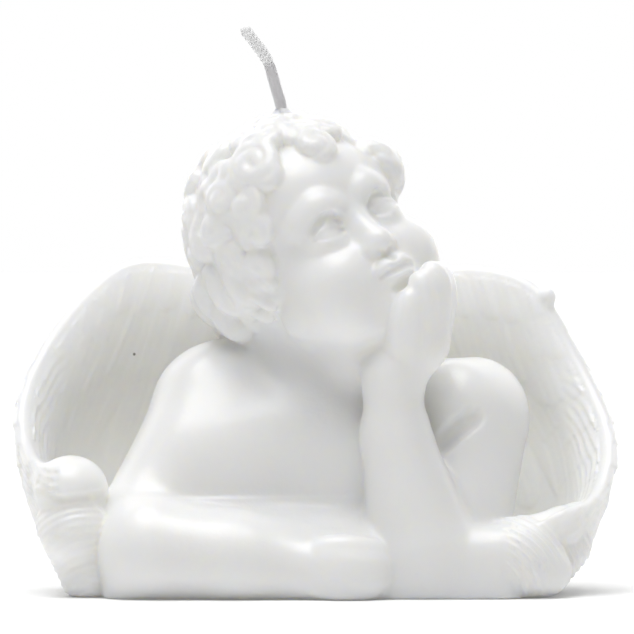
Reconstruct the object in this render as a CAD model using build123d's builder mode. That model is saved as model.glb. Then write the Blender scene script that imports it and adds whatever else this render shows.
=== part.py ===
"""A figure candle: a winged child leaning on its folded arm, cast in white wax around a cotton wick.

Millimetres, +Z up. The origin is the centre of the bounding box, on the surface the candle stands on.
The child faces -Y, and its left side is at +X. The whole figure is one pour of wax. The wick is a
cotton braid in a sleeve of priming wax, crimped into a sheet-metal tab that sits in the underside.
"""

import os

from build123d import *

# Overall size.
WIDTH = 100.0
DEPTH = 55.0
CROWN_HEIGHT = 80.0

# Each wing is an upright wall, round in plan, that leans out from its foot and in at its top.
WING_AXIS_X = 22.5
WING_RADIUS = WIDTH / 2 - WING_AXIS_X
WING_WALL = 5.0
WING_TOP = 55.0
WING_START = 38.0
WING_SWEEP = 168.0
WING_FOOT_RADIUS = 19.0
WING_BULGE_HEIGHT = 26.0
WING_TOP_RADIUS = 24.5

# The edge of a wing seen from the front, from its root: (distance from the middle, height).
WING_FRONT_EDGE = ((0, 44), (10, 51), (22, WING_TOP), (34, 53.0), (43, 45.5), (48.5, 37), (51, 27))

# The edge of a wing seen from the side, from its back: (y, height).
WING_SIDE_EDGE = ((DEPTH / 2, WING_TOP + 2), (14, 52), (3, 42), (-6, 30), (-14, 22))

# The rolled feather tips beside each elbow: (distance from the middle, y, height, radius).
FEATHER_ROLLS = ((40.5, -13.0, 18.5, 6.0), (39.0, -15.5, 11.5, 6.5), (36.5, -14.5, 5.0, 6.0))

# The block under the arms and wings.
BASE_HEIGHT = 11.0
BASE_HALF_WIDTH = 38.0
BASE_FRONT = -23.0
BASE_BACK = 8.0
BASE_CORNER = 8.0

# The trunk, as ellipses at three heights: (height, half width, half depth).
TRUNK_X = 4.0
TRUNK_Y = 3.0
TRUNK_SECTIONS = ((4.0, 25.0, 13.0), (20.0, 22.0, 11.5), (37.0, 18.0, 9.0))

# The arms and neck, as tapered limbs: (start, end, start radius, end radius).
FRONT_RADIUS = 8.2
LIMBS = {
    "right_upper_arm": ((-17, 2, 32.2), (-28.5, -11, 12.5), 8.4, 7.4),
    "right_forearm": ((-28, -DEPTH / 2 + FRONT_RADIUS, 8.2), (2, -DEPTH / 2 + 7, 6.8), FRONT_RADIUS, 5.4),
    "right_hand": ((2, -DEPTH / 2 + 7, 6.8), (6, -DEPTH / 2 + 7, 6.6), 5.4, 4.4),
    "right_index": ((5, -DEPTH / 2 + 6, 9.4), (13, -DEPTH / 2 + 6.5, 9.0), 1.9, 1.6),
    "right_middle": ((5, -DEPTH / 2 + 5, 7.2), (14.5, -DEPTH / 2 + 5, 6.2), 1.9, 1.6),
    "right_ring": ((5, -DEPTH / 2 + 4.5, 4.8), (13.5, -DEPTH / 2 + 4.5, 3.6), 1.9, 1.6),
    "right_little": ((4, -DEPTH / 2 + 5, 2.6), (11, -DEPTH / 2 + 5, 1.8), 1.7, 1.4),
    "left_upper_arm": ((25, 3, 31.5), (24.5, -9, 8), 7.8, 7.0),
    "left_forearm": ((21, -14, 7.5), (14.5, -15.5, 36), 7.6, 4.4),
    "left_hand": ((14.5, -15.5, 36), (18.0, -16.3, 46.5), 4.4, 4.6),
    "left_index": ((16.5, -18.5, 46.5), (17.0, -18.8, 53.0), 1.8, 1.5),
    "left_middle": ((19.0, -18.0, 47.0), (20.3, -17.8, 53.4), 1.8, 1.5),
    "left_ring": ((21.0, -15.8, 46.5), (22.3, -15.2, 52.0), 1.8, 1.5),
    "neck": ((3, 1, 34), (0, -1, 46), 10.5, 9.5),
}

# The head, turned towards +X, tipped back and leant towards -X. Its masses are tapered limbs given
# in its own directions: (to its left, out through the face, up through the crown).
HEAD_CENTRE = Vector(-3.0, -1.0, 61.0)
HEAD_TURN = 35.0
HEAD_TIP = 15.0
HEAD_LEAN = 24.6
HEAD_MASSES = {
    "hair": ((0, -1.6, 0), (0, 1.8, 0.6), 18.2, 17.8),
    "face": ((0, 6.5, -8), (0, 8.0, -17), 12.2, 8.6),
    "left_cheek": ((6.5, 9.5, -13), (4.0, 11.5, -17), 6.6, 5.4),
    "right_cheek": ((-6.5, 9.5, -13), (-4.0, 11.5, -17), 6.6, 5.4),
    "nose": ((0, 15.0, -7), (0, 17.2, -12.5), 1.6, 2.2),
}

# The wick: a braid in a sleeve of priming wax, upright in its channel and bent over above the head.
WICK_FOOT = (-5.8, 1.0, 0.3)
WICK_TURN = (-5.8, 1.0, 80.6)
BRAID_TURN = (-8.3, 0.8, 89.2)
BRAID_TIP = (-11.9, 0.5, 93.8)
SLEEVE_SHARE = 0.88
WICK_TURN_RADIUS = 6.0
BRAID_TURN_RADIUS = 3.5
BRAID_RADIUS = 0.75
SLEEVE_RADIUS = 0.95
WICK_GAP = 0.02
CHANNEL_GAP = 0.05

# The sheet-metal tab that the wick stands in, sunk into the underside.
TAB_RADIUS = 6.25
TAB_SHEET = 0.3
TAB_INSET = 0.2
TAB_NECK_HEIGHT = 5.0
TAB_GAP = 0.1


def round_limb(start, end, start_radius, end_radius):
    """Adds a tapered limb, round at both ends, to the part being built."""
    start, end = Vector(start), Vector(end)
    along = end - start
    with Locations(Plane(origin=start, z_dir=along)):
        Cone(start_radius, end_radius, along.length, align=(Align.CENTER, Align.CENTER, Align.MIN))
    with Locations(start):
        Sphere(start_radius)
    with Locations(end):
        Sphere(end_radius)


def head_directions():
    """The head's own directions in the row frame: to its left, out through its face, and up."""
    turned = Location(Rotation(0, 0, HEAD_TURN)) * Location(Rotation(-HEAD_TIP, 0, 0))
    pose = Location(Rotation(0, -HEAD_LEAN, 0)) * turned
    return [(pose * Pos(*d)).position for d in ((1, 0, 0), (0, -1, 0), (0, 0, 1))]


def in_head(place):
    """A point given in the head's own directions, in the row frame."""
    left, out, up = head_directions()
    place = Vector(place)
    return HEAD_CENTRE + left * place.X + out * place.Y + up * place.Z


def wing():
    """The wing at +X: its wall, cut to its two edges, and its rolled feather tips."""
    with BuildPart() as wall:
        with BuildSketch(Plane.XZ):
            with BuildLine():
                for radius, foot, top in (
                    (WING_RADIUS, WING_FOOT_RADIUS, WING_TOP_RADIUS),
                    (WING_RADIUS - WING_WALL, WING_FOOT_RADIUS - WING_WALL, WING_TOP_RADIUS - WING_WALL),
                ):
                    TangentArc((radius, WING_BULGE_HEIGHT), (foot, 0), tangent=(0, -1))
                    TangentArc((radius, WING_BULGE_HEIGHT), (top, WING_TOP + 1), tangent=(0, 1))
                Line((WING_FOOT_RADIUS, 0), (WING_FOOT_RADIUS - WING_WALL, 0))
                Line((WING_TOP_RADIUS, WING_TOP + 1), (WING_TOP_RADIUS - WING_WALL, WING_TOP + 1))
            make_face()
        revolve(axis=Axis.Z, revolution_arc=WING_SWEEP)
    with BuildPart() as shaped:
        add(Pos(WING_AXIS_X, 0, 0) * Rot(0, 0, 180 - WING_START - WING_SWEEP) * wall.part)
        with BuildSketch(Plane.XZ):
            with BuildLine():
                edge = Spline(*WING_FRONT_EDGE)
                Polyline(edge @ 1, (WING_FRONT_EDGE[-1][0], 0), (0, 0), edge @ 0)
            make_face()
        extrude(amount=DEPTH, both=True, mode=Mode.INTERSECT)
        with BuildSketch(Plane.YZ):
            with BuildLine():
                edge = Spline(*WING_SIDE_EDGE)
                Polyline(edge @ 1, (WING_SIDE_EDGE[-1][0], 0), (DEPTH / 2, 0), edge @ 0)
            make_face()
        extrude(amount=WIDTH, mode=Mode.INTERSECT)
        for x, y, z, radius in FEATHER_ROLLS:
            with Locations((x, y, z)):
                Sphere(radius)
    return shaped.part


def wick_path(end_of_sleeve):
    """The line that the wick follows, up to the end of its sleeve or on to the braid's tip."""
    sleeve_top = Vector(WICK_TURN) + (Vector(BRAID_TURN) - Vector(WICK_TURN)) * SLEEVE_SHARE
    with BuildLine() as path:
        if end_of_sleeve:
            FilletPolyline(WICK_FOOT, WICK_TURN, sleeve_top, radius=WICK_TURN_RADIUS)
        else:
            FilletPolyline(
                WICK_FOOT, WICK_TURN, BRAID_TURN, BRAID_TIP, radius=[WICK_TURN_RADIUS, BRAID_TURN_RADIUS]
            )
    return path.line


with BuildPart() as casting:
    with BuildSketch():
        with Locations((0, (BASE_FRONT + BASE_BACK) / 2)):
            RectangleRounded(2 * BASE_HALF_WIDTH, BASE_BACK - BASE_FRONT, BASE_CORNER)
        with Locations((WING_AXIS_X, 0), (-WING_AXIS_X, 0)):
            Circle(WING_FOOT_RADIUS - 0.5)
    extrude(amount=BASE_HEIGHT)
    for height, half_width, half_depth in TRUNK_SECTIONS:
        with BuildSketch(Plane.XY.offset(height)):
            with Locations((TRUNK_X, TRUNK_Y)):
                Ellipse(half_width, half_depth)
    loft()
    for limb in LIMBS.values():
        round_limb(*limb)
    right_wing = wing()
    add(right_wing)
    add(right_wing.mirror(Plane.YZ))
    for start, end, start_radius, end_radius in HEAD_MASSES.values():
        round_limb(in_head(start), in_head(end), start_radius, end_radius)
    split(bisect_by=Plane.XY)
    with Locations(Plane(origin=(*WICK_FOOT[:2], 0), z_dir=(0, 0, -1))):
        CounterBoreHole(
            SLEEVE_RADIUS + CHANNEL_GAP,
            TAB_RADIUS + TAB_GAP,
            TAB_INSET + TAB_SHEET + TAB_GAP,
            depth=CROWN_HEIGHT + 5,
        )
        Hole(SLEEVE_RADIUS + TAB_SHEET + TAB_GAP, depth=TAB_INSET + TAB_SHEET + TAB_NECK_HEIGHT + TAB_GAP)
casting.part.label = "wax_casting"

with BuildPart() as braid:
    with BuildSketch(Plane(origin=WICK_FOOT)):
        Circle(BRAID_RADIUS)
    sweep(path=wick_path(end_of_sleeve=False))
    fillet(braid.edges().filter_by(GeomType.CIRCLE).sort_by(Axis.Z)[-1], BRAID_RADIUS / 3)
braid.part.label = "wick_braid"

with BuildPart() as sleeve:
    with BuildSketch(Plane(origin=WICK_FOOT)):
        Circle(SLEEVE_RADIUS)
        Circle(BRAID_RADIUS + WICK_GAP, mode=Mode.SUBTRACT)
    sweep(path=wick_path(end_of_sleeve=True))
sleeve.part.label = "wick_priming_sleeve"

with BuildPart() as tab:
    with BuildSketch(Plane(origin=(*WICK_FOOT[:2], TAB_INSET))):
        Circle(TAB_RADIUS)
    extrude(amount=TAB_SHEET)
    with BuildSketch(Plane(origin=(*WICK_FOOT[:2], TAB_INSET + TAB_SHEET))):
        Circle(SLEEVE_RADIUS + WICK_GAP + TAB_SHEET)
    extrude(amount=TAB_NECK_HEIGHT)
    with BuildSketch(Plane(origin=(*WICK_FOOT[:2], TAB_INSET))):
        Circle(SLEEVE_RADIUS + WICK_GAP)
    extrude(amount=TAB_SHEET + TAB_NECK_HEIGHT, mode=Mode.SUBTRACT)
tab.part.label = "wick_tab"

os.makedirs("parts", exist_ok=True)
for piece in (casting, braid, sleeve, tab):
    export_step(piece.part, f"parts/{piece.part.label}.step")
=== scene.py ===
"""Looks of the cherub figure candle: cast white wax, a primed cotton wick and its metal tab.

The casting is modelled as one block of clay: signed distances on a grid, in millimetres, that forms
are added to and cut from. Its surface becomes the mesh. All places are in the CAD frame.
"""

import math

import bpy
import numpy as np
import openvdb
from mathutils import Matrix, Vector

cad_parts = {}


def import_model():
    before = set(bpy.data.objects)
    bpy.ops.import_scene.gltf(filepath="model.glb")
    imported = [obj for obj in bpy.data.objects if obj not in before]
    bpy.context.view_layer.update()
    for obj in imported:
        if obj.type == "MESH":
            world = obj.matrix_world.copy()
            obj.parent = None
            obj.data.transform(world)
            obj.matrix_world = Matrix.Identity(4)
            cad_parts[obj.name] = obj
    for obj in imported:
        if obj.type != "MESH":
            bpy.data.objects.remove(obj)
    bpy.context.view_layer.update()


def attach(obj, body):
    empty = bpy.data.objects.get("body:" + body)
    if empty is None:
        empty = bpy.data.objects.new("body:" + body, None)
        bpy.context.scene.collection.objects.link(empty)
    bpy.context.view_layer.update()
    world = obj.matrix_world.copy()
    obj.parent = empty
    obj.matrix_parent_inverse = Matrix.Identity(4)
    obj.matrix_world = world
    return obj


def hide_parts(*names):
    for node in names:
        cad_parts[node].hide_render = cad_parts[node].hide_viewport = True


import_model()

# Spacing of the clay's grid, the distance far outside it, and a millimetre in metres.
STEP = 0.36
FAR = 50.0
MM = 0.001
# About one whole turn, in radians, for random starts.
WHOLE_TURN = 6.28
# The wick's place in plan.
WICK_AT = (-5.8, 1.0)


# ---------------------------------------------------------------- clay

def unit(v):
    v = np.asarray(v, float)
    return v / np.linalg.norm(v)


class Clay:
    """Signed distances in millimetres, negative inside, on a regular grid."""

    def __init__(self, low, high, step):
        self.low = np.array(low, float)
        self.step = step
        self.axes = [np.arange(a, b, step) for a, b in zip(low, high)]
        self.field = np.full([len(a) for a in self.axes], FAR, np.float32)

    def window(self, low, high):
        cuts = []
        for axis, a, b in zip(self.axes, low, high):
            i, j = np.searchsorted(axis, (a, b))
            cuts.append(slice(i, j))
        x = self.axes[0][cuts[0]].astype(np.float32)[:, None, None]
        y = self.axes[1][cuts[1]].astype(np.float32)[None, :, None]
        z = self.axes[2][cuts[2]].astype(np.float32)[None, None, :]
        return tuple(cuts), x, y, z

    def add(self, shape, blend=1.0):
        low, high, distance = shape
        pad = max(2.0 * blend, 3.0) + 0.5
        cut, x, y, z = self.window(np.array(low) - pad, np.array(high) + pad)
        old = self.field[cut]
        if old.size:
            self.field[cut] = soft_min(old, distance(x, y, z), blend)

    def cut(self, shape, blend=0.5):
        low, high, distance = shape
        pad = blend + 0.5
        cut, x, y, z = self.window(np.array(low) - pad, np.array(high) + pad)
        old = self.field[cut]
        if old.size:
            self.field[cut] = -soft_min(-old, distance(x, y, z), blend)


def soft_min(a, b, blend):
    """The lesser of two distances, with a fillet where they meet."""
    near = np.maximum(blend - np.abs(a - b), 0) / max(blend, 1e-6)
    return np.minimum(a, b) - near * near * blend * 0.25


def rounded_max(p, q, corner):
    """The greater of two distances, with a rounded corner where they meet."""
    a = np.maximum(p + corner, 0)
    b = np.maximum(q + corner, 0)
    return np.sqrt(a * a + b * b) + np.minimum(np.maximum(p, q) + corner, 0) - corner


def blob(centre, radii, axes=None):
    """An ellipsoid. The rows of axes are its own three directions."""
    centre = np.asarray(centre, float)
    radii = np.ones(3) * np.asarray(radii, float)
    axes = np.eye(3) if axes is None else np.asarray(axes, float)
    half = np.sqrt(((axes * radii[:, None]) ** 2).sum(0))

    def distance(x, y, z):
        p = (x - centre[0], y - centre[1], z - centre[2])
        k0 = 0
        k1 = 0
        for row, radius in zip(axes, radii):
            q = row[0] * p[0] + row[1] * p[1] + row[2] * p[2]
            k0 = k0 + (q / radius) ** 2
            k1 = k1 + (q / radius**2) ** 2
        k0 = np.sqrt(k0)
        return k0 * (k0 - 1) / np.maximum(np.sqrt(k1), 1e-4)

    return centre - half, centre + half, distance


def limb(a, b, ra, rb):
    """A round bar that tapers from a to b."""
    a = np.asarray(a, float)
    b = np.asarray(b, float)
    ab = b - a
    length2 = float(ab @ ab) + 1e-9

    def distance(x, y, z):
        px, py, pz = x - a[0], y - a[1], z - a[2]
        h = np.clip((px * ab[0] + py * ab[1] + pz * ab[2]) / length2, 0, 1)
        d = np.sqrt((px - h * ab[0]) ** 2 + (py - h * ab[1]) ** 2 + (pz - h * ab[2]) ** 2)
        return d - (ra + h * (rb - ra))

    low = np.minimum(a - ra, b - rb)
    high = np.maximum(a + ra, b + rb)
    return low, high, distance


def smooth_path(points, radii, count):
    """Points and radii along a Catmull-Rom curve through the given ones."""
    p = np.asarray(points, float)
    r = np.ones(len(p)) * np.asarray(radii, float)
    q = np.vstack([2 * p[0] - p[1], p, 2 * p[-1] - p[-2]])
    out, width = [], []
    for t in np.linspace(0, len(p) - 1, count):
        i = min(int(t), len(p) - 2)
        f = t - i
        a, b, c, d = q[i : i + 4]
        square = 2 * a - 5 * b + 4 * c - d
        cube = 3 * b - a - 3 * c + d
        out.append(0.5 * (2 * b + (c - a) * f + square * f**2 + cube * f**3))
        width.append(r[i] + (r[i + 1] - r[i]) * f)
    return np.array(out), np.array(width)


def rope(clay, points, radii, blend, count=None, cut=False, smooth=True):
    """Adds or cuts a chain of tapered bars."""
    if smooth:
        points, radii = smooth_path(points, radii, count or 4 * len(points))
    for a, b, ra, rb in zip(points[:-1], points[1:], radii[:-1], radii[1:]):
        (clay.cut if cut else clay.add)(limb(a, b, ra, rb), blend)


# ---------------------------------------------------------------- the head's own directions

HEAD_AT = np.array((-3.0, -1.0, 61.0))
# The head is tipped back, turned towards +X and then leant towards -X, in degrees.
HEAD_TIP = 15.0
HEAD_TURN = 35.0
HEAD_LEAN = 24.6


def head_directions():
    """The head's left, out and up as rows, rounded to four places."""
    tip = Matrix.Rotation(math.radians(-HEAD_TIP), 3, "X")
    turn = Matrix.Rotation(math.radians(HEAD_TURN), 3, "Z")
    lean = Matrix.Rotation(math.radians(-HEAD_LEAN), 3, "Y")
    pose = lean @ turn @ tip
    return np.round(np.array((pose.col[0], -pose.col[1], pose.col[2])), 4)


HEAD = head_directions()
HEAD_LEFT, HEAD_OUT, HEAD_UP = HEAD


def head(left, out, up):
    return HEAD_AT + left * HEAD_LEFT + out * HEAD_OUT + up * HEAD_UP


def heads(points):
    return [head(*p) for p in points]


# The skull: an ellipsoid in the head's own directions.
SKULL_AT = head(0, -1, 1)
SKULL = np.array((14.3, 17, 15.5))


# ---------------------------------------------------------------- the wings

# Distance of a wing's upright axis from the middle, and the thickness of its wall.
WING_AXIS = 22.5
WALL = 5.0
# Lengths along a wing are arcs of this radius. The feathers start behind the spine and cover a span.
ARC_RADIUS = 26.0
SPAN_START = -34
SPAN = 104
# Height of a wing's top edge against the angle round its axis: 0 is the back, 90 the side.
RIGHT_EDGE = (
    (-75, 38), (-40, 48), (-15, 53), (5, 55), (25, 54.6), (43, 49.5), (59, 43.3),
    (72, 37.8), (80, 34.6), (92, 29.8), (105, 24.6), (118, 22), (132, 20), (145, 17),
)
LEFT_EDGE = (
    (-75, 38), (-40, 48), (-15, 52.5), (5, 54), (25, 53), (37, 50.6), (44, 46.6), (51, 42),
    (59, 37.2), (69, 32.1), (77, 28.6), (92, 22.8), (110, 16.8), (131, 14.6), (145, 13),
)
# Outer radius of a wing wall against height.
RADIUS = (
    (-2, 17.2), (0, 18.2), (5, 21.2), (10, 23.6), (17, 26.0),
    (26, 27.4), (35, 27.2), (45, 26.2), (56, 24.6), (60, 24.2),
)


def table(points):
    """The points of a smooth curve through the given ones, as two lists to interpolate in."""
    fine, _ = smooth_path(points, 0, 12 * len(points))
    return fine[:, 0], fine[:, 1]


RIGHT_EDGE = table(RIGHT_EDGE)
LEFT_EDGE = table(LEFT_EDGE)
RADIUS = table(RADIUS)


def wing_radius(z):
    return np.interp(z, *RADIUS)


class Relief:
    """A height map of overlapping feathers over a wing wall: arc length against height."""

    CELL = 0.2

    def __init__(self, edge, seed, strength, rows):
        self.s = np.arange(-36, 74, self.CELL)
        self.z = np.arange(-4, 62, self.CELL)
        self.map = np.zeros((len(self.s), len(self.z)), np.float32)
        rng = np.random.default_rng(seed)
        for drop, length, width, lift in rows:
            count = int(SPAN / (width * 1.62))
            for i in range(count):
                s0 = SPAN_START + SPAN * (i + 0.5) / count + rng.normal(0, 0.25)
                top = np.interp(math.degrees(s0 / ARC_RADIUS), *edge)
                lean = np.radians(np.interp(s0, (-35, 0, 30, 60), (4, 14, 38, 62)) + rng.normal(0, 2.5))
                along = np.array((math.sin(lean), -math.cos(lean)))
                root = np.array((s0, top - drop)) - along
                self.feather(root, along, length * rng.uniform(0.92, 1.08), width, lift, rng)
        kernel = np.exp(-np.linspace(-2, 2, 5) ** 2 / 2)
        kernel /= kernel.sum()
        for axis in (0, 1):
            self.map = np.apply_along_axis(lambda v: np.convolve(v, kernel, "same"), axis, self.map)
        self.map *= strength

    def feather(self, root, along, length, width, lift, rng):
        """One feather from its root: a rounded blade with a quill, a step at its tip and barbs."""
        side = np.array((-along[1], along[0]))
        reach = length + 2 * width
        i = np.searchsorted(self.s, (root[0] - reach, root[0] + reach))
        j = np.searchsorted(self.z, (root[1] - reach, root[1] + reach))
        if i[0] == i[1] or j[0] == j[1]:
            return
        s = self.s[i[0] : i[1]][:, None] - root[0]
        z = self.z[j[0] : j[1]][None, :] - root[1]
        a = s * along[0] + z * along[1]
        b = s * side[0] + z * side[1] - 0.012 * a * a * rng.uniform(0.2, 1.0)
        tip = np.clip((a - (length - 1.5 * width)) / (1.5 * width), 0, 1)
        edge = width * np.sqrt(np.maximum(1 - tip**2.2, 0))
        inside = (a > 0) & (a < length) & (np.abs(b) < edge)
        across = np.abs(b) / np.maximum(edge, 0.1)
        height = lift * (0.25 + 0.75 * a / length) * (1 - 0.45 * across**3)
        height += 0.16 * np.exp(-((b / 0.38) ** 2)) - 0.10 * np.exp(-((np.abs(b) - 0.75) ** 2 / 0.08))
        barbs = 0.07 * np.sin(2 * np.pi * (a + np.abs(b) * 1.3) / 1.35)
        height += barbs * np.clip(across * 2 - 0.3, 0, 1)
        patch = self.map[i[0] : i[1], j[0] : j[1]]
        patch[inside] = height[inside]

    def at(self, s, z):
        """The relief between the map's cells."""
        u = np.clip((s - self.s[0]) / self.CELL, 0, len(self.s) - 2)
        v = np.clip((z - self.z[0]) / self.CELL, 0, len(self.z) - 2)
        i = u.astype(np.int32)
        j = v.astype(np.int32)
        fu = u - i
        fv = v - j
        m = self.map
        low = m[i, j] * (1 - fu) + m[i + 1, j] * fu
        high = m[i, j + 1] * (1 - fu) + m[i + 1, j + 1] * fu
        return low * (1 - fv) + high * fv


def wing(side, edge, seed):
    """A wing wall with feathers outside and in. side is 1 at +X."""
    # Rows of feathers, each with its drop below the edge, length, half width and lift.
    outer_rows = ((17, 40, 3.0, 0.6), (12, 22, 2.9, 0.8), (7, 12, 2.7, 0.85), (1.5, 9, 2.5, 0.8))
    inner_rows = ((15, 30, 3.6, 0.5), (7, 15, 3.2, 0.7), (1.5, 9, 2.8, 0.7))
    outer = Relief(edge, seed, 1.35, outer_rows)
    inner = Relief(edge, seed + 5, 0.62, inner_rows)
    corner = 0.75

    def distance(x, y, z):
        px = side * x - WING_AXIS
        rho = np.sqrt(px * px + y * y)
        phi = np.arctan2(px + 0 * y, y + 0 * px)
        phi = np.where(phi < -1.9, phi + 2 * np.pi, phi)
        degrees = np.degrees(phi)
        s = phi * ARC_RADIUS
        mid = wing_radius(z.ravel())[None, None, :] - WALL / 2
        top = np.interp(degrees, *edge)
        off = rho - mid
        rim = z - top
        taper = np.clip(1 + rim / 13.0, 0, 1) ** 2 * 3.4
        fade = np.clip((1.5 - rim) / 3.0, 0, 1) * np.clip((z - 1.0) / 6.0, 0, 1)
        sz = (s + 0 * z, z + 0 * s)
        relief = np.where(off > 0, outer.at(*sz), inner.at(*sz)) * fade
        # Short barbs across the front rim.
        rim_mask = np.clip((degrees - 52) / 15, 0, 1) * np.clip((rim + 11) / 5, 0, 1)
        across = s * 0.55 + z * 0.84 + 0.25 * np.sin(s * 0.6)
        barbs = rim_mask * 0.17 * np.sin(2 * np.pi * across / 1.4)
        wall = np.where(off > 0, off - WALL / 2, -off - WALL / 2 + taper) - relief - barbs
        wall = np.maximum(wall, np.where(off > 0, -off - WALL / 2 + taper, wall))
        d = rounded_max(wall, rim * 0.8, corner)
        # The wall ends at the spine, and at its front corner beside the arms.
        d = np.where(px + 0 * d < 0, np.maximum(d, 6 - y), d)
        ahead = -(y + 17.5) + 0 * d
        return rounded_max(d, ahead, corner).astype(np.float32)

    if side > 0:
        return (-1.5, -18, -1), (51, 28.5, 57), distance
    return (-51, -18, -1), (1.5, 28.5, 57), distance


# ---------------------------------------------------------------- sculpting

def front(clay, x, z):
    """The y of the clay's front surface at x and z."""
    i = int(round((x - clay.axes[0][0]) / clay.step))
    k = int(round((z - clay.axes[2][0]) / clay.step))
    j = int(np.argmax(clay.field[i, :, k] < 0))
    return clay.axes[1][j]


def crease(clay, places, radii, blend):
    """A soft groove along the front surface through the given (x, z) places."""
    line, width = smooth_path([(x, 0, z) for x, z in places], radii, 6 * len(places))
    line[:, 1] = [front(clay, x, z) for x, _, z in line]
    rope(clay, line, width, blend, cut=True, smooth=False)


def snap(clay, points, direction):
    """The points moved along a direction, from outside, onto the clay's surface."""
    steps = np.arange(5.0, -5.0, -0.1)
    out = []
    for p in points:
        line = p + steps[:, None] * direction
        i, j, k = np.round((line - clay.low) / clay.step).astype(int).T
        value = clay.field[i, j, k]
        out.append(line[int(np.argmax(value < 0))])
    return np.array(out)


def groove(clay, points, radii, blend, direction):
    """A soft groove along the surface under a smooth path."""
    line, width = smooth_path(points, radii, 10 * len(points))
    line = snap(clay, line, direction)
    soft = np.array([line[max(i - 2, 0) : i + 3].mean(0) for i in range(len(line))])
    rope(clay, soft, width, blend, cut=True, smooth=False)


def sculpt_body(clay):
    # Base and the wax behind the arms.
    def base(x, y, z):
        qx = np.abs(x + 0.5) - 30.0
        qy = np.abs(y + 7.0) - 10.0
        qz = np.abs(z - 4.0) - 3.0
        outside = np.sqrt(np.maximum(qx, 0) ** 2 + np.maximum(qy, 0) ** 2 + np.maximum(qz, 0) ** 2)
        return outside + np.minimum(np.maximum(np.maximum(qx, qy), qz), 0) - 5.0

    clay.add(((-36, -23, -6), (36, 9, 13), base), 1.0)
    clay.add(blob((1, 4, 2), (30, 17, 12)), 4)
    # Trunk, chest and belly.
    clay.add(blob((3.0, 3.5, 21), (20.5, 11.5, 18.5)), 4)
    clay.add(blob((2.0, 0.5, 27), (18.0, 11.0, 12.5)), 5)
    clay.add(blob((-1.0, -4.0, 19), (17, 9.5, 14)), 6)
    clay.add(blob((-13.5, -4.0, 20), (11, 9.0, 14.5)), 6)
    clay.add(blob((-19.0, -7.5, 19), (9, 7.8, 12)), 6)
    clay.add(limb((-20, -12.5, 9.0), (9, -12.0, 6.0), 6.2, 5.6), 5)
    # Shoulder line and neck.
    clay.add(limb((-14.5, 3.0, 33.5), (19, 4.5, 32.5), 7.0, 6.5), 5)
    clay.add(limb((2.0, 2.0, 34), (-1.0, 0.5, 48), 10.5, 9.5), 5)
    clay.add(limb((-12.0, 3.5, 35), (-4, 2, 44), 5.5, 6.0), 5)
    # Right arm: shoulder, upper arm, elbow, forearm.
    clay.add(blob((-17.3, 1.0, 31.8), (9.0, 8.6, 9.2)), 5)
    clay.add(limb((-18.5, 0.0, 30.0), (-28.0, -10.5, 13.5), 8.5, 7.8), 4)
    clay.add(blob((-28.2, -15.5, 8.6), (7.4, 9.0, 8.3)), 3)
    clay.add(limb((-27.0, -18.8, 7.8), (-13, -19.4, 6.6), 8.0, 6.7), 2.5)
    clay.add(limb((-14, -19.4, 6.7), (0.5, -20.4, 4.9), 6.8, 4.7), 2.5)
    clay.add(limb((-0.5, -20.4, 4.9), (4.0, -20.4, 4.8), 4.7, 4.4), 2)
    # Left arm: shoulder, upper arm, elbow, raised forearm.
    clay.add(blob((26.3, 3.0, 30.2), (9.0, 8.6, 9.0)), 3.0)
    clay.add(limb((27.0, 1.5, 27.5), (24.5, -8.0, 10), 8.2, 7.4), 2)
    clay.add(limb((24.6, -2.0, 30.0), (23.6, -8.0, 14), 6.4, 6.8), 3.5)
    clay.add(blob((17.8, -13.8, 6.5), (9.6, 9.3, 9.5)), 1.8)
    clay.add(limb((17.2, -14.2, 9.5), (13.0, -15.3, 27), 9.0, 5.6), 1.6)
    clay.add(limb((13.0, -15.3, 26.5), (12.3, -15.6, 36.2), 5.6, 4.3), 2)
    clay.add(blob((22.6, -3.0, 29.0), (6.6, 6.2, 9.0)), 4.5)
    # The fold of the left arm.
    crease(clay, ((20.6, 25.0), (23.6, 28.0), (26.4, 30.0)), (0.05, 0.12, 0.05), 2.4)


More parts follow.
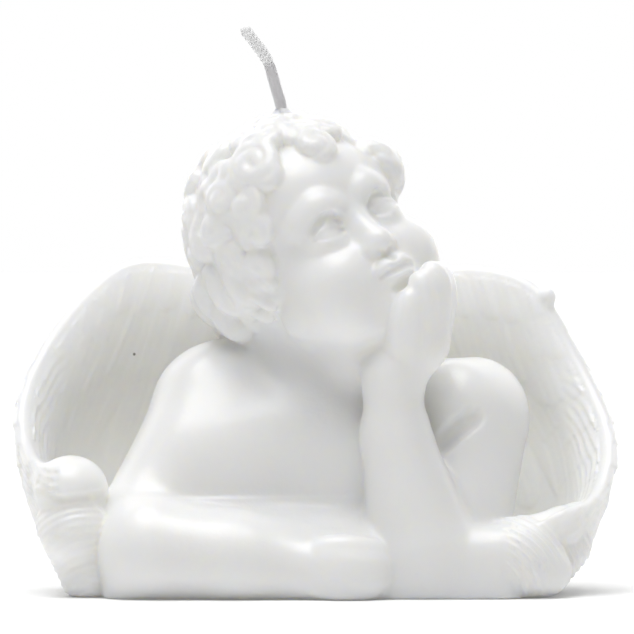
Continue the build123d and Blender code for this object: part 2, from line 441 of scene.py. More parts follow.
def sculpt_hands(clay):
    # Right hand, flat beside the other elbow.
    clay.add(blob((3.6, -20.8, 5.0), (5.2, 4.0, 4.6)), 2.5)
    fingers = (
        (((1.0, -22.8, 8.4), (4.6, -23.4, 8.5), (7.6, -22.6, 8.0), (9.4, -20.8, 7.5)), 1.5),
        (((1.2, -23.8, 6.2), (5.2, -24.4, 6.0), (8.4, -23.6, 5.6), (10.4, -21.6, 5.3)), 1.55),
        (((1.2, -23.9, 3.9), (5.0, -24.5, 3.6), (8.2, -23.8, 3.4), (10.2, -22.0, 3.3)), 1.5),
        (((1.0, -23.2, 1.9), (4.2, -23.8, 1.6), (7.0, -23.2, 1.5), (8.6, -21.6, 1.5)), 1.35),
    )
    for points, radius in fingers:
        rope(clay, points, (radius, radius, radius * 0.92, radius * 0.8), 1.9, count=12)
    # Left hand, bent at the wrist, with its fingers up along the cheek and its thumb under the chin.
    clay.add(limb((12.8, -15.6, 36.0), (17.2, -15.2, 42.5), 4.6, 4.4), 3)
    clay.add(limb((17.0, -15.2, 42.0), (18.6, -14.8, 48.0), 4.3, 3.6), 2.5)
    fingers = (
        (((17.4, -17.6, 43.5), (17.8, -18.8, 47.0), (17.9, -19.4, 50.0), (17.0, -19.6, 52.4)), 1.75),
        (((19.2, -16.2, 44.0), (19.9, -17.4, 48.4), (19.9, -18.0, 51.8), (18.8, -18.2, 54.0)), 1.75),
        (((20.0, -13.8, 44.5), (20.7, -14.4, 48.4), (20.6, -15.0, 51.8), (19.6, -15.4, 53.8)), 1.7),
        (((19.8, -11.6, 43.8), (20.2, -11.8, 46.8), (20.2, -12.2, 49.6), (19.4, -12.6, 51.4)), 1.5),
    )
    for points, radius in fingers:
        rope(clay, points, (radius * 1.1, radius * 1.05, radius, radius * 0.9), 1.3, count=14)
    thumb = ((14.6, -17.6, 40.5), (14.6, -19.4, 44.0), (14.9, -20.2, 47.0), (15.4, -20.2, 49.6))
    rope(clay, thumb, (2.3, 2.0, 1.8, 1.45), 1.5, count=14)


def almond(side):
    """The opening between the lids, down to the ball of the eye."""
    eye = head(side * 6.1, 12.35, -7.2)

    def distance(x, y, z):
        p = (x - eye[0], y - eye[1], z - eye[2])
        left, out, up = (row[0] * p[0] + row[1] * p[1] + row[2] * p[2] for row in HEAD)
        ball = np.sqrt(left * left + out * out + up * up)
        bow = np.maximum(1 - (left / 2.9) ** 2, -1.0)
        tilt = up - 0.08 * side * left
        gap = np.maximum(tilt - 0.95 * bow, -0.95 * bow - 0.1 - tilt)
        return np.maximum(np.maximum(gap, 3.42 - ball), 1.0 - out)

    return eye - 4.6, eye + 4.6, distance


def mirrored(*half):
    """A path across the face from its points on the left half, the last on the middle line."""
    right = [(-left, out, up) for left, out, up in half[:-1]]
    return heads([*right, half[-1], *reversed(half[:-1])])


def sculpt_head(clay):
    clay.add(blob(SKULL_AT, SKULL, HEAD), 2)
    clay.add(blob(head(0, 6.8, 1.5), (11.8, 9.8, 9.5), HEAD), 4)
    clay.add(blob(head(0, 5.5, -11.0), (12.3, 10.0, 12.0), HEAD), 4)
    clay.add(limb(head(0, 2, -14), head(0, 0, -22), 9.5, 9.5), 3)
    for side in (-1, 1):
        clay.add(blob(head(side * 6.9, 9.8, -14.2), (6.4, 6.4, 5.9), HEAD), 4)
        clay.add(blob(head(side * 6.0, 8.6, -18.4), (5.8, 5.6, 5.2), HEAD), 3)
        clay.add(limb(head(side * 9.5, 1.5, -14.5), head(side * 3.0, 10.4, -22.2), 4.0, 4.2), 3)
        clay.cut(blob(head(side * 6.2, 18.3, -6.9), (4.6, 2.7, 3.0), HEAD), 3.0)
        # The brow, soft; then a ball for lids and eye together, opened by an almond.
        brow = heads(((side * 2.4, 15.2, -3.2), (side * 5.6, 15.0, -1.9), (side * 9.2, 12.2, -3.2)))
        rope(clay, brow, (0.5, 0.6, 0.5), 3.2)
        clay.add(blob(head(side * 6.1, 12.35, -7.2), 3.75), 1.2)
        clay.cut(almond(side), 0.35)
        fold = ((2.9, 14.6, -5.9), (4.6, 15.6, -4.6), (6.8, 15.2, -4.4), (9.2, 12.8, -5.8))
        fold = heads([(side * left, out, up) for left, out, up in fold])
        groove(clay, fold, (0.1, 0.25, 0.25, 0.1), 0.8, HEAD_OUT)
    # Nose.
    clay.add(limb(head(0, 14.3, -5.0), head(0, 16.6, -11.0), 1.5, 1.9), 2.6)
    clay.add(blob(head(0, 17.1, -12.2), (2.15, 2.1, 1.85), HEAD), 1.3)
    for side in (-1, 1):
        clay.add(blob(head(side * 1.95, 16.2, -12.9), (1.3, 1.5, 1.2), HEAD), 0.9)
        clay.cut(blob(head(side * 0.95, 17.3, -14.2), (0.5, 0.7, 0.55), HEAD), 0.5)
    # Mouth: a mound, the chin, two lips, the line between them and the dips above and below.
    clay.add(blob(head(0, 12.9, -17.6), (5.4, 3.9, 4.4), HEAD), 2.4)
    clay.add(blob(head(0, 12.9, -22.4), (4.2, 4.0, 3.4), HEAD), 2.4)
    upper = mirrored((3.3, 15.3, -17.3), (1.7, 16.5, -16.7), (0, 16.8, -16.9))
    rope(clay, upper, (0.5, 0.8, 0.7, 0.8, 0.5), 1.3)
    lower = mirrored((2.6, 15.2, -18.4), (1.2, 16.1, -18.7), (0, 16.2, -18.7))
    rope(clay, lower, (0.5, 0.85, 0.95, 0.85, 0.5), 1.3)
    line = mirrored((3.7, 15.5, -17.9), (1.8, 17.1, -17.8), (0, 17.6, -18.0))
    groove(clay, line, (0.1, 0.3, 0.35, 0.3, 0.1), 0.5, HEAD_OUT)
    dip = heads(((0, 17.4, -14.8), (0, 17.7, -15.9)))
    rope(clay, dip, (0.35, 0.45), 0.9, cut=True, smooth=False)
    chin = mirrored((2.0, 17.0, -20.9), (0, 17.4, -20.9))
    rope(clay, chin, (0.4, 0.6, 0.4), 1.5, cut=True)
    # Right ear, half hidden by curls.
    ear = (
        (-13.9, 0.8, -10.6), (-15.0, -0.4, -7.4), (-15.2, -1.6, -5.0),
        (-14.6, -3.6, -5.2), (-14.2, -4.0, -8.0), (-13.6, -2.2, -11.0),
    )
    rope(clay, heads(ear), (0.9, 0.8, 0.9, 0.9, 0.9, 1.2), 0.6)
    clay.cut(blob(head(-15.2, -1.8, -7.8), (1.2, 1.1, 1.7), HEAD), 0.6)


def scalp_normal(p):
    q = (HEAD @ (p - SKULL_AT)) / SKULL**2
    return unit(HEAD.T @ q)


def on_scalp(direction, lift):
    """The point above the skull in a direction given in the head's own axes."""
    d = unit(direction)
    reach = 1 / math.sqrt(((d / SKULL) ** 2).sum())
    p = SKULL_AT + HEAD.T @ (d * reach)
    return p + scalp_normal(p) * lift


def curl(clay, centre, n, size, turns, spin, start, thick=1.3):
    """A lock wound into a flat curl that faces along n."""
    t1 = unit(np.cross(n, HEAD_UP + 0.01))
    t2 = np.cross(n, t1)
    count = int(14 * turns) + 4
    angle = start + spin * np.linspace(0, 2 * np.pi * turns, count)
    f = np.linspace(0, 1, count)
    radius = size * (1 - 0.80 * f**0.85)
    height = 0.1 + 0.9 * f
    width = thick * np.interp(f, (0, 0.15, 0.7, 1), (0.55, 1, 0.9, 0.6))
    flat = radius[:, None] * (np.cos(angle)[:, None] * t1 + np.sin(angle)[:, None] * t2)
    path = centre + flat + height[:, None] * n
    radial = flat / np.linalg.norm(flat, axis=1)[:, None]
    strands(clay, path, width, radial, n)


def random_curl(clay, centre, n, rng, thick, size, turns):
    """A curl with the rest of its form drawn from the given ranges."""
    size = rng.uniform(*size)
    turns = rng.uniform(*turns)
    spin = rng.choice((-1, 1))
    start = rng.uniform(0, WHOLE_TURN)
    curl(clay, centre, n, size, turns, spin, start, rng.uniform(*thick))


def strands(clay, path, width, side, n):
    """The soft core of a lock and three ridges of hair along it."""
    rope(clay, path, width * 0.86, 0.9, smooth=False)
    for across, up in ((-0.62, 0.45), (0.0, 0.68), (0.62, 0.45)):
        line = path + side * (across * width)[:, None] + n * (up * width)[:, None]
        rope(clay, line, width * 0.34, 0.22, smooth=False)


def lock(clay, points, widths, n):
    """A wavy lock that lies along the points."""
    path, width = smooth_path(points, widths, 7 * len(points))
    n = unit(n)
    run = np.gradient(path, axis=0)
    side = np.cross(run, n)
    side /= np.linalg.norm(side, axis=1)[:, None]
    strands(clay, path, width, side, n)


def is_hair(spot):
    """Whether a place on the skull, in the head's own directions, is behind the hairline."""
    _, out, up = spot
    if up > 8:
        return True
    return out < np.interp(up, (-20, -14, -8, -2, 3, 8), (0.5, 1.5, 4.5, 9.0, 12.5, 16.5))


def sculpt_hair(clay):
    rng = np.random.default_rng(7)
    # Under-layer, and the hair that hangs behind the neck.
    clay.add(blob(head(0, -3.2, 2.4), (15.9, 16.9, 16.3), HEAD), 1.5)
    clay.add(blob(head(0, -6.5, -7.0), (12.8, 11.0, 12.0), HEAD), 2.5)
    nape = np.array((-6.0, 5.0, 50.0))
    nape_radii = np.array((11.5, 9.0, 9.0))
    clay.add(blob(nape, nape_radii), 2.5)
    golden = math.pi * (3 - math.sqrt(5))
    count = 80
    for i in range(count):
        z = 1 - 2 * (i + 0.5) / count
        ring = math.sqrt(1 - z * z)
        d = np.array((ring * math.cos(golden * i), ring * math.sin(golden * i), z))
        if z > 0.45 or z < -0.85 or (d[1] < 0.1 and d[0] > -0.5):
            continue
        n = unit(d / nape_radii)
        centre = nape + d * nape_radii + n * rng.uniform(-0.2, 0.5)
        random_curl(clay, centre, n, rng, thick=(1.1, 1.45), size=(2.3, 3.3), turns=(1.0, 1.4))
    count = 150
    for i in range(count):
        up = 1 - 2 * (i + 0.5) / count
        ring = math.sqrt(1 - up * up)
        d = np.array((ring * math.cos(golden * i), ring * math.sin(golden * i), up)) + rng.normal(0, 0.05, 3)
        d = unit(d)
        spot = d * SKULL
        if not is_hair(spot) or spot[2] < -13.5:
            continue
        centre = on_scalp(d, rng.uniform(0.5, 1.3) + (0.7 if spot[1] < 0 else 0.0))
        n = unit(scalp_normal(centre) + rng.normal(0, 0.12, 3))
        random_curl(clay, centre, n, rng, thick=(1.1, 1.5), size=(2.3, 3.8), turns=(1.0, 1.45))
    # Loose locks along the right jaw and over the neck.
    places = (
        (-12.5, -9.2, 52, 1.7), (-15.0, -6.2, 50.6, 1.9), (-17.4, -2.4, 49.4, 1.9),
        (-17.9, 1.6, 48.4, 1.8), (-14.6, -3.4, 46.2, 1.7),
    )
    for x, y, z, w in places:
        points = (
            (x - 0.4, y, z + 4), (x - 1.3, y - 0.4, z + 1), (x + 0.1, y - 0.2, z - 1.6),
            (x + 1.9, y + 0.2, z - 2.6), (x + 2.9, y + 0.3, z - 1.2),
        )
        lock(clay, points, (w * 0.8, w, w * 0.95, w * 0.8, w * 0.6), (-0.7, -0.7, 0.1))
    # Forelock, the big swirl beside it, and the tuft at the left temple.
    for d, size, turns, spin, start, thick in (
        ((0.4, 17.0, 6.6), 2.9, 1.3, 1, 1.2, 1.35),
        ((-8.5, 12.5, 9.0), 4.4, 1.7, -1, 0.4, 1.5),
        ((-3.5, 13.0, 12.0), 3.2, 1.3, 1, 2.4, 1.4),
    ):
        centre = on_scalp(d, 1.0)
        curl(clay, centre, scalp_normal(centre), size, turns, spin, start, thick)
    temple = np.array((8.0, 0.5, 69.4))
    radii = np.array((4.9, 7.0, 5.0))
    clay.add(blob(temple, radii), 2.0)
    directions = (
        (1, -0.35, 0.2), (0.75, -0.5, 0.8), (1, 0.35, -0.2),
        (0.9, 0.3, 0.6), (0.3, -0.5, 1.0), (0.7, 0.9, 0.3),
    )
    for d in directions:
        n = unit(np.array(d) / radii)
        spin = rng.choice((-1, 1))
        start = rng.uniform(0, WHOLE_TURN)
        curl(clay, temple + unit(d) * radii, n, 2.1, 1.2, spin, start, 1.1)


# Spacing of the grooves on the rolled feather tips.
BARB = 1.3


def barbed(shape, pole, depth):
    """The same form with fine grooves in rings round a pole, given as (x, z)."""
    low, high, plain = shape

    def distance(x, y, z):
        c = np.sqrt((x - pole[0]) ** 2 + (z - pole[1]) ** 2) + 0.25 * y
        return plain(x, y, z) + depth * (0.5 - 0.5 * np.cos(2 * np.pi * c / BARB))

    return low, high, distance


def sculpt_rolls(clay):
    # The rolled tips of the right wing: a smooth roll over a barbed one that tapers to the base.
    pole = (-35, -8)
    clay.add(barbed(limb((-40.3, -12.5, 12.0), (-37.8, -13.0, 3.5), 6.4, 4.9), pole, 0.26), 0.8)
    clay.add(barbed(blob((-40.0, -14.8, 11.0), (5.9, 5.8, 6.0)), pole, 0.26), 0.8)
    clay.add(blob((-40.8, -12.6, 17.6), (6.2, 7.0, 5.8)), 0.5)
    crease(clay, ((-46.2, 17.5), (-43.5, 16.4), (-40, 16.6), (-35.5, 17.0)), (0.3, 0.45, 0.45, 0.3), 0.8)
    for drop in (0, 1.3, 2.6):
        arc = ((-46.6, 19.2 + drop), (-45.0, 18.2 + drop), (-42.8, 18.0 + drop))
        crease(clay, arc, (0.3, 0.35, 0.1), 0.5)
    # The rolled tips of the left wing: a barbed bulge beside the elbow and a flap over it.
    pole = (25, -2)
    clay.add(barbed(blob((33.4, -14.6, 6.2), (8.2, 7.4, 7.4)), pole, 0.4), 0.6)
    clay.add(barbed(limb((37.0, -12.5, 4.6), (40.6, -9.0, 8.6), 5.2, 5.2), pole, 0.4), 0.6)
    clay.add(blob((37.5, -16.5, 4.4), (4.6, 3.6, 4.2)), 1.0)
    clay.add(limb((33.5, -14.5, 11.2), (40.5, -12.5, 11.6), 1.9, 3.2), 0.8)
    clay.add(limb((40.5, -12.5, 11.6), (43.2, -6.5, 12.2), 3.2, 3.2), 1.0)
    # The nub on the left wing's rim.
    clay.add(blob((39.0, 19.0, 48.9), (1.4, 1.6, 1.5)), 0.5)


def finish_clay(clay):
    """Adds the lip round the wick, cuts the flat base, and bores the tab's recess and the channel."""
    wick = np.array(WICK_AT)
    z = clay.axes[2][None, None, :].astype(np.float32)
    clay.add(limb((*WICK_AT, 78.6), (-5.85, 1.0, 80.1), 2.3, 1.35), 1.4)
    clay.field = -soft_min(-clay.field, z, 0.8)

    def well(radius, top):
        def distance(x, y, zz):
            rho = np.sqrt((x - wick[0]) ** 2 + (y - wick[1]) ** 2)
            return np.maximum(rho - radius, np.abs(zz - top / 2 + 1) - top / 2 - 1)

        return (*(wick - radius), -2), (*(wick + radius), top), distance

    # The recess for the disc, the bore for the tab's neck and the channel for the wick.
    for radius, top in ((6.35, 0.6), (1.35, 5.6), (1.02, 85.0)):
        clay.cut(well(radius, top), 0.0)


def surface(clay, name):
    """The mesh of the clay's surface, in metres."""
    grid = openvdb.FloatGrid(FAR)
    grid.copyFromArray(clay.field)
    points, quads = grid.convertToQuads(isovalue=0.0)
    points = (points * clay.step + clay.low) * MM
    mesh = bpy.data.meshes.new(name)
    mesh.from_pydata(points.tolist(), [], quads[:, ::-1].tolist())
    mesh.update()
    return mesh


def place(mesh, name, node):
    """Puts a piece in the scene, in place of a CAD node, with smooth faces."""
    piece = bpy.data.objects.new(name, mesh)
    bpy.context.scene.collection.objects.link(piece)
    for face in mesh.polygons:
        face.use_smooth = True
    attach(piece, "root")
    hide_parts(node)
    return piece


# ---------------------------------------------------------------- the wick and its tab

# Places along the wick, and how far up from TURN to BEND its priming wax reaches.
FOOT = np.array((*WICK_AT, 0.3))
TURN = np.array((*WICK_AT, 80.6))
BEND = np.array((-8.3, 0.8, 89.2))
TIP = np.array((-11.9, 0.5, 93.8))
SLEEVE_END = 0.88


def wick_line():
    """Evenly spaced points along the wick's centre line, from the tab to the tip."""
    raw = [FOOT, FOOT + (0, 0, 40), FOOT + (0, 0, 70), TURN - (0, 0, 3), TURN - (0, 0, 1.0)]
    lean = unit(BEND - TURN)
    raw += [TURN + lean * 1.0, TURN + lean * 3.5, BEND - lean * 1.4]
    last = unit(TIP - BEND)
    raw += [BEND + last * 0.9 - lean * 0.2, BEND + last * 3.0, TIP]
    fine, _ = smooth_path(raw, 0, 1500)
    gaps = np.linalg.norm(np.diff(fine, axis=0), axis=1)
    along = np.concatenate(([0], np.cumsum(gaps)))
    even = np.arange(0, along[-1], 0.08)
    return np.array([np.interp(even, along, fine[:, i]) for i in range(3)]).T, even


def frames(path):
    """Two directions across the path at every point, turning as little as possible."""
    run = np.gradient(path, axis=0)
    run /= np.linalg.norm(run, axis=1)[:, None]
    a = np.zeros_like(run)
    a[0] = np.cross(run[0], (0, 1, 0))
    for i in range(1, len(run)):
        v = a[i - 1] - run[i] * (a[i - 1] @ run[i])
        a[i] = v / np.linalg.norm(v)
    return a, np.cross(run, a)


def lathe(path, profile, bumps, sides, loop=True):
    """A skin round a path. The profile gives places along the path with their radii.

    It loops back to its first ring, or it ends in two caps.
    """
    a, b = frames(path)
    verts, faces = [], []
    for i, radius in profile:
        for n in range(sides):
            angle = 2 * np.pi * n / sides
            r = radius * (1 + bumps(i, angle))
            verts.append((path[i] + r * (math.cos(angle) * a[i] + math.sin(angle) * b[i])) * MM)
    rings = len(profile)
    for k in range(rings if loop else rings - 1):
        nxt = (k + 1) % rings
        for n in range(sides):
            m = (n + 1) % sides
            faces.append((k * sides + n, nxt * sides + n, nxt * sides + m, k * sides + m))
    if not loop:
        faces.append(tuple(range(sides)))
        faces.append(tuple(reversed(range((rings - 1) * sides, rings * sides))))
    return verts, faces


def sleeve_stop(path):
    """The place along the path where the priming wax ends."""
    stop = TURN + (BEND - TURN) * SLEEVE_END
    return int(np.argmin(np.linalg.norm(path - stop, axis=1)))


def plait(fine, seg, sa, sb, t):
    """Three plaited yarns of three strands round a core. t is the angle of the plait."""
    end = len(seg)
    rope(fine, seg, np.full(end, 0.56), 0.1, smooth=False)
    grow = np.interp(np.arange(end), (0, 14, 30), (0.72, 0.72, 1.0))
    for turn in range(3):
        phase = t + turn * 2 * np.pi / 3
        sway = sa * (0.52 * grow * np.sin(phase))[:, None]
        middle = seg + sway + sb * (0.38 * grow * np.sin(2 * phase))[:, None]
        for yarn in range(3):
            twist = 2.1 * t + yarn * 2 * np.pi / 3
            strand = middle + sa * (0.18 * np.cos(twist))[:, None] + sb * (0.18 * np.sin(twist))[:, None]
            rope(fine, strand, np.full(end, 0.28), 0.16, smooth=False)


def crumbs(fine, seg, sa, sb):
    """Crumbs of wax caught in the braid, and a thicker cut tip."""
    rng = np.random.default_rng(3)
    for _ in range(26):
        i = int(rng.uniform(24, len(seg) - 1))
        angle = rng.uniform(0, WHOLE_TURN)
        at = seg[i] + (math.cos(angle) * sa[i] + math.sin(angle) * sb[i]) * rng.uniform(0.55, 0.85)
        fine.add(blob(at, rng.uniform(0.16, 0.42, 3)), 0.25)
    for dx, dz, r in ((0.2, -0.3, 0.75), (-0.3, 0.1, 0.6), (0.35, 0.35, 0.45)):
        fine.add(blob(TIP + (dx, rng.uniform(-0.3, 0.3), dz), (r, r * 0.85, r * 0.7)), 0.3)


def braid_piece():
    """The braid: a plain core inside the sleeve, and the plait from just below the sleeve's end."""
    path, along = wick_line()
    sleeve_end = sleeve_stop(path)
    low = path[sleeve_end:].min(0) - 2.2
    high = path[sleeve_end:].max(0) + (2.2, 2.2, 1.6)
    fine = Clay(low, high, 0.065)
    a, b = frames(path)
    start = sleeve_end - 16
    pitch = 2.7
    t = (along[start:] - along[start]) * 2 * np.pi / pitch
    plait(fine, path[start:], a[start:], b[start:], t)
    crumbs(fine, path[start:], a[start:], b[start:])
    mesh = surface(fine, "wick_braid")
    verts = [tuple(v.co) for v in mesh.vertices]
    faces = [tuple(f.vertices) for f in mesh.polygons]
    rings = [(i, 0.75) for i in range(0, start + 12, 12)] + [(start + 12, 0.5)]

    def ribs(i, angle):
        return 0.03 * math.sin(3 * angle + i * 0.2)

    more, quads = lathe(path, rings, ribs, 24, loop=False)
    base = len(verts)
    verts += [tuple(v) for v in more]
    faces += [tuple(n + base for n in q) for q in quads]
    joined = bpy.data.meshes.new("wick_braid")
    joined.from_pydata(verts, [], faces)
    return place(joined, "wick_plait", "wick_braid")


def sleeve_piece():
    """The priming wax: a thin sleeve with a chipped upper lip."""
    path, _ = wick_line()
    sleeve_end = sleeve_stop(path)

    def wobble(i, angle):
        rise = max(0, i - sleeve_end + 40) / 40
        chips = 0.05 * rise * math.sin(5 * angle + i)
        return 0.012 * math.sin(angle * 2 + i * 0.05) + 0.01 * math.sin(i * 0.13) + chips

    stops = list(range(0, sleeve_end - 6, 6))
    outside = [(i, 0.95) for i in stops] + [(sleeve_end - 3, 0.92), (sleeve_end, 0.86)]
    inside = [(sleeve_end - 1, 0.79)] + [(i, 0.77) for i in reversed(stops)]
    verts, faces = lathe(path, outside + inside, wobble, 36)
    mesh = bpy.data.meshes.new("wick_priming_sleeve")
    mesh.from_pydata([tuple(v) for v in verts], [], faces)
    return place(mesh, "wick_coat", "wick_priming_sleeve")


def tab_piece():
    """The sustainer: a stamped disc with a rib, and a neck that is crimped from two sides."""
    neck = 0.97
    wall = 0.3
    low = 0.2
    top = 5.5
    crimp = 3.4
    outer = neck + wall
    # The disc's underside and edge, its upper side, the neck outside, and its lip and bore.
    profile = [(neck, low), (2.2, low), (3.6, low + 0.08), (5.0, low), (6.1, low), (6.25, low + 0.12)]
    profile += [(6.1, low + wall), (5.0, low + wall), (3.6, low + wall + 0.12), (2.2, low + wall)]
    profile += [(1.6, low + 0.42), (outer, low + 0.9), (outer, 2.2), (outer, crimp), (outer, 4.4)]
    profile += [(outer - 0.04, top - 0.1), (neck + wall * 0.5, top), (neck, top - 0.1)]
    profile += [(neck, crimp), (neck, 2.2), (neck, 0.9)]
    verts, faces = [], []
    sides = 72
    for radius, z in profile:
        for n in range(sides):
            angle = 2 * np.pi * n / sides
            pinch = 0.16 * math.exp(-(((z - crimp) / 0.5) ** 2)) * max(0, math.cos(2 * angle)) ** 4
            r = radius - pinch if radius > 1.1 and z > 1 else radius
            verts.append(((FOOT[0] + r * math.cos(angle)) * MM, (FOOT[1] + r * math.sin(angle)) * MM, z * MM))
    rings = len(profile)
    for k in range(rings):
        nxt = (k + 1) % rings
        for n in range(sides):
            m = (n + 1) % sides
            faces.append((k * sides + n, k * sides + m, nxt * sides + m, nxt * sides + n))
    mesh = bpy.data.meshes.new("wick_tab")
    mesh.from_pydata(verts, [], faces)
    return place(mesh, "wick_sustainer", "wick_tab")


# ---------------------------------------------------------------- materials

class Nodes:
    """Short names for building a node material."""

    def __init__(self, name):
        self.material = bpy.data.materials.new(name)
        self.material.use_nodes = True
        self.tree = self.material.node_tree
        self.shader = self.tree.nodes["Principled BSDF"]
        self.spot = self.make("ShaderNodeTexCoord").outputs["Object"]

    def make(self, kind, **values):
        node = self.tree.nodes.new(kind)
        for key, value in values.items():
            if key in node.inputs:
                node.inputs[key].default_value = value
            else:
                setattr(node, key, value)
        return node

    def join(self, a, b):
        self.tree.links.new(a, b)

    def noise(self, scale, detail=3.0, rough=0.5):
        node = self.make("ShaderNodeTexNoise", Scale=scale, Detail=detail, Roughness=rough)
        self.join(self.spot, node.inputs["Vector"])
        return node.outputs["Fac"]

    def ramp(self, value, *stops):
        node = self.make("ShaderNodeValToRGB")
        self.join(value, node.inputs["Fac"])
        ramp = node.color_ramp
        while len(ramp.elements) < len(stops):
            ramp.elements.new(0.5)
        for element, (at, colour) in zip(ramp.elements, stops):
            element.position = at
            element.color = (*colour, 1) if isinstance(colour, tuple) else (colour, colour, colour, 1)
        return node.outputs["Color"]

    def bump(self, height, distance, strength=1.0, under=None):
        node = self.make("ShaderNodeBump", Distance=distance, Strength=strength)
        self.join(height, node.inputs["Height"])
        if under:
            self.join(under, node.inputs["Normal"])
        return node.outputs["Normal"]

    def set(self, **values):
        for key, value in values.items():
            self.shader.inputs[key.replace("_", " ")].default_value = value


def wax_material():
    m = Nodes("white_wax")
    m.set(IOR=1.44, Subsurface_Weight=0.85, Subsurface_Scale=0.006, Subsurface_Radius=(1.0, 0.92, 0.72))
    m.set(Coat_Weight=0.22, Coat_Roughness=0.2, Coat_IOR=1.42)
    # Slight clouding, and a few dark specks of dust pressed into the surface.
    cloud = m.ramp(m.noise(90, 2), (0.3, (0.955, 0.957, 0.938)), (0.7, (0.966, 0.968, 0.954)))
    specks = m.make("ShaderNodeTexVoronoi", Scale=160.0, feature="F1")
    m.join(m.spot, specks.inputs["Vector"])
    dot = m.ramp(specks.outputs["Distance"], (0.035, 1.0), (0.06, 0.0))
    rare = m.ramp(m.noise(140, 1), (0.665, 0.0), (0.68, 1.0))
    both = m.make("ShaderNodeMath", operation="MULTIPLY")
    m.join(dot, both.inputs[0])
    m.join(rare, both.inputs[1])
    mix = m.make("ShaderNodeMix", data_type="RGBA")
    m.join(both.outputs["Value"], mix.inputs["Factor"])
    m.join(cloud, mix.inputs["A"])
    mix.inputs["B"].default_value = (0.22, 0.21, 0.19, 1)
    m.join(mix.outputs["Result"], m.shader.inputs["Base Color"])
    rough = m.ramp(m.noise(220, 4), (0.35, 0.28), (0.7, 0.46))
    m.join(rough, m.shader.inputs["Roughness"])
    skin = m.bump(m.noise(260, 4, 0.55), 0.00022, 0.5)
    fine = m.bump(m.noise(1500, 3, 0.6), 0.00004, 0.5, skin)
    m.join(fine, m.shader.inputs["Normal"])
    return m.material


def cotton_material():
    m = Nodes("cotton")
    m.set(Subsurface_Weight=0.7, Subsurface_Scale=0.0006, Subsurface_Radius=(1, 1, 1))
    m.set(Roughness=0.7, Sheen_Weight=0.1)
    tone = m.ramp(m.noise(1400, 4), (0.3, (0.92, 0.92, 0.93)), (0.65, (0.97, 0.97, 0.97)))
    m.join(tone, m.shader.inputs["Base Color"])
    fibres = m.make("ShaderNodeTexWave", Scale=700.0, Distortion=5.0, Detail=1.0)
    m.join(m.spot, fibres.inputs["Vector"])
    fuzz = m.bump(m.noise(2500, 2), 0.00002, 0.5)
    m.join(m.bump(fibres.outputs["Fac"], 0.00002, 0.5, fuzz), m.shader.inputs["Normal"])
    return m.material


def priming_material():
    m = Nodes("priming_wax")
    m.set(Subsurface_Weight=0.6, Subsurface_Scale=0.0008, Subsurface_Radius=(1, 1, 1))
    m.set(Roughness=0.45, Coat_Weight=0.1, Coat_Roughness=0.3)
    tone = m.ramp(m.noise(700, 3), (0.35, (0.82, 0.80, 0.825)), (0.7, (0.90, 0.885, 0.905)))
    m.join(tone, m.shader.inputs["Base Color"])
    m.join(m.bump(m.noise(1800, 4), 0.00006, 0.6), m.shader.inputs["Normal"])
    return m.material


def tin_material():
    m = Nodes("tinplate")
    m.set(Metallic=1.0, Roughness=0.36)
    tone = m.ramp(m.noise(500, 4), (0.3, (0.60, 0.60, 0.59)), (0.75, (0.74, 0.74, 0.73)))
    m.join(tone, m.shader.inputs["Base Color"])
    m.join(m.ramp(m.noise(900, 3), (0.3, 0.28), (0.7, 0.48)), m.shader.inputs["Roughness"])
    m.join(m.bump(m.noise(2400, 3), 0.00003, 0.5), m.shader.inputs["Normal"])
    return m.material


# ---------------------------------------------------------------- the pieces

clay = Clay((-51.4, -28.6, -1.2), (51.4, 29.0, 84.0), STEP)
sculpt_body(clay)
sculpt_rolls(clay)
clay.add(wing(1, LEFT_EDGE, 31), 1.2)
clay.add(wing(-1, RIGHT_EDGE, 32), 1.2)
sculpt_head(clay)
sculpt_hair(clay)
sculpt_hands(clay)
finish_clay(clay)
casting = place(surface(clay, "wax_casting"), "wax_figure", "wax_casting")
casting.data.materials.append(wax_material())
braid_piece().data.materials.append(cotton_material())
sleeve_piece().data.materials.append(priming_material())
tab_piece().data.materials.append(tin_material())

# ---------------------------------------------------------------- the stage


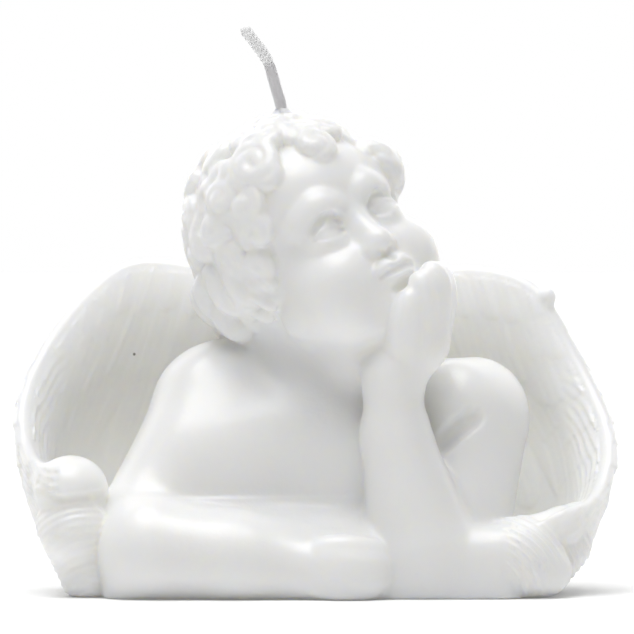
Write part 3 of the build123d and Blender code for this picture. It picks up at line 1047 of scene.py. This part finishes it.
def paper():
    """A white sheet on a light table, which lifts the shade at the foot of the figure."""
    m = Nodes("paper")
    m.set(Roughness=0.8, Emission_Color=(1, 1, 1, 1), Emission_Strength=0.06)
    tone = m.ramp(m.noise(60, 3), (0.3, (0.94, 0.94, 0.94)), (0.7, (0.96, 0.96, 0.96)))
    m.join(tone, m.shader.inputs["Base Color"])
    m.join(m.bump(m.noise(900, 3), 0.00002, 0.3), m.shader.inputs["Normal"])
    return m.material


def stage():
    mesh = bpy.data.meshes.new("floor")
    half = 2.5
    corners = [(-half, -half, 0), (half, -half, 0), (half, half, 0), (-half, half, 0)]
    mesh.from_pydata(corners, [], [(0, 1, 2, 3)])
    floor = bpy.data.objects.new("floor", mesh)
    bpy.context.scene.collection.objects.link(floor)
    mesh.materials.append(paper())


def world():
    """A white surround that is seen and mirrored, but doesn't light the figure."""
    studio = bpy.data.worlds.new("studio")
    bpy.context.scene.world = studio
    studio.use_nodes = True
    back = studio.node_tree.nodes["Background"]
    back.inputs["Color"].default_value = (1, 1, 1, 1)
    back.inputs["Strength"].default_value = 1.0
    studio.cycles_visibility.diffuse = False
    studio.cycles_visibility.transmission = False


def camera():
    data = bpy.data.cameras.new("camera")
    cam = bpy.data.objects.new("camera", data)
    bpy.context.scene.collection.objects.link(cam)
    bpy.context.scene.camera = cam
    far = 1.5
    tilt = math.radians(1.5)
    view_width = 0.10588
    sensor = 36
    target = Vector((0, 0, 0.0460))
    away = Vector((0, -math.cos(tilt), math.sin(tilt)))
    cam.location = target + away * far
    cam.rotation_euler = away.to_track_quat("Z", "Y").to_euler()
    data.sensor_width = sensor
    data.lens = sensor * far / view_width
    data.clip_start = 0.05


def soft_sun(name, source, spread, power):
    """Even light from a wide patch of sky, from a source towards the origin."""
    data = bpy.data.lights.new(name, "SUN")
    data.energy = power
    data.angle = math.radians(spread)
    lamp = bpy.data.objects.new(name, data)
    bpy.context.scene.collection.objects.link(lamp)
    lamp.location = source
    lamp.rotation_euler = Vector(source).to_track_quat("Z", "Y").to_euler()


stage()
soft_sun("overhead", (-0.10, -0.17, 1.0), 50, 2.75)
soft_sun("back_left", (-0.5, 0.8, 0.4), 60, 0.7)
soft_sun("back_right", (0.5, 0.8, 0.4), 60, 0.6)
world()
bpy.context.scene.view_settings.view_transform = "Standard"
camera()
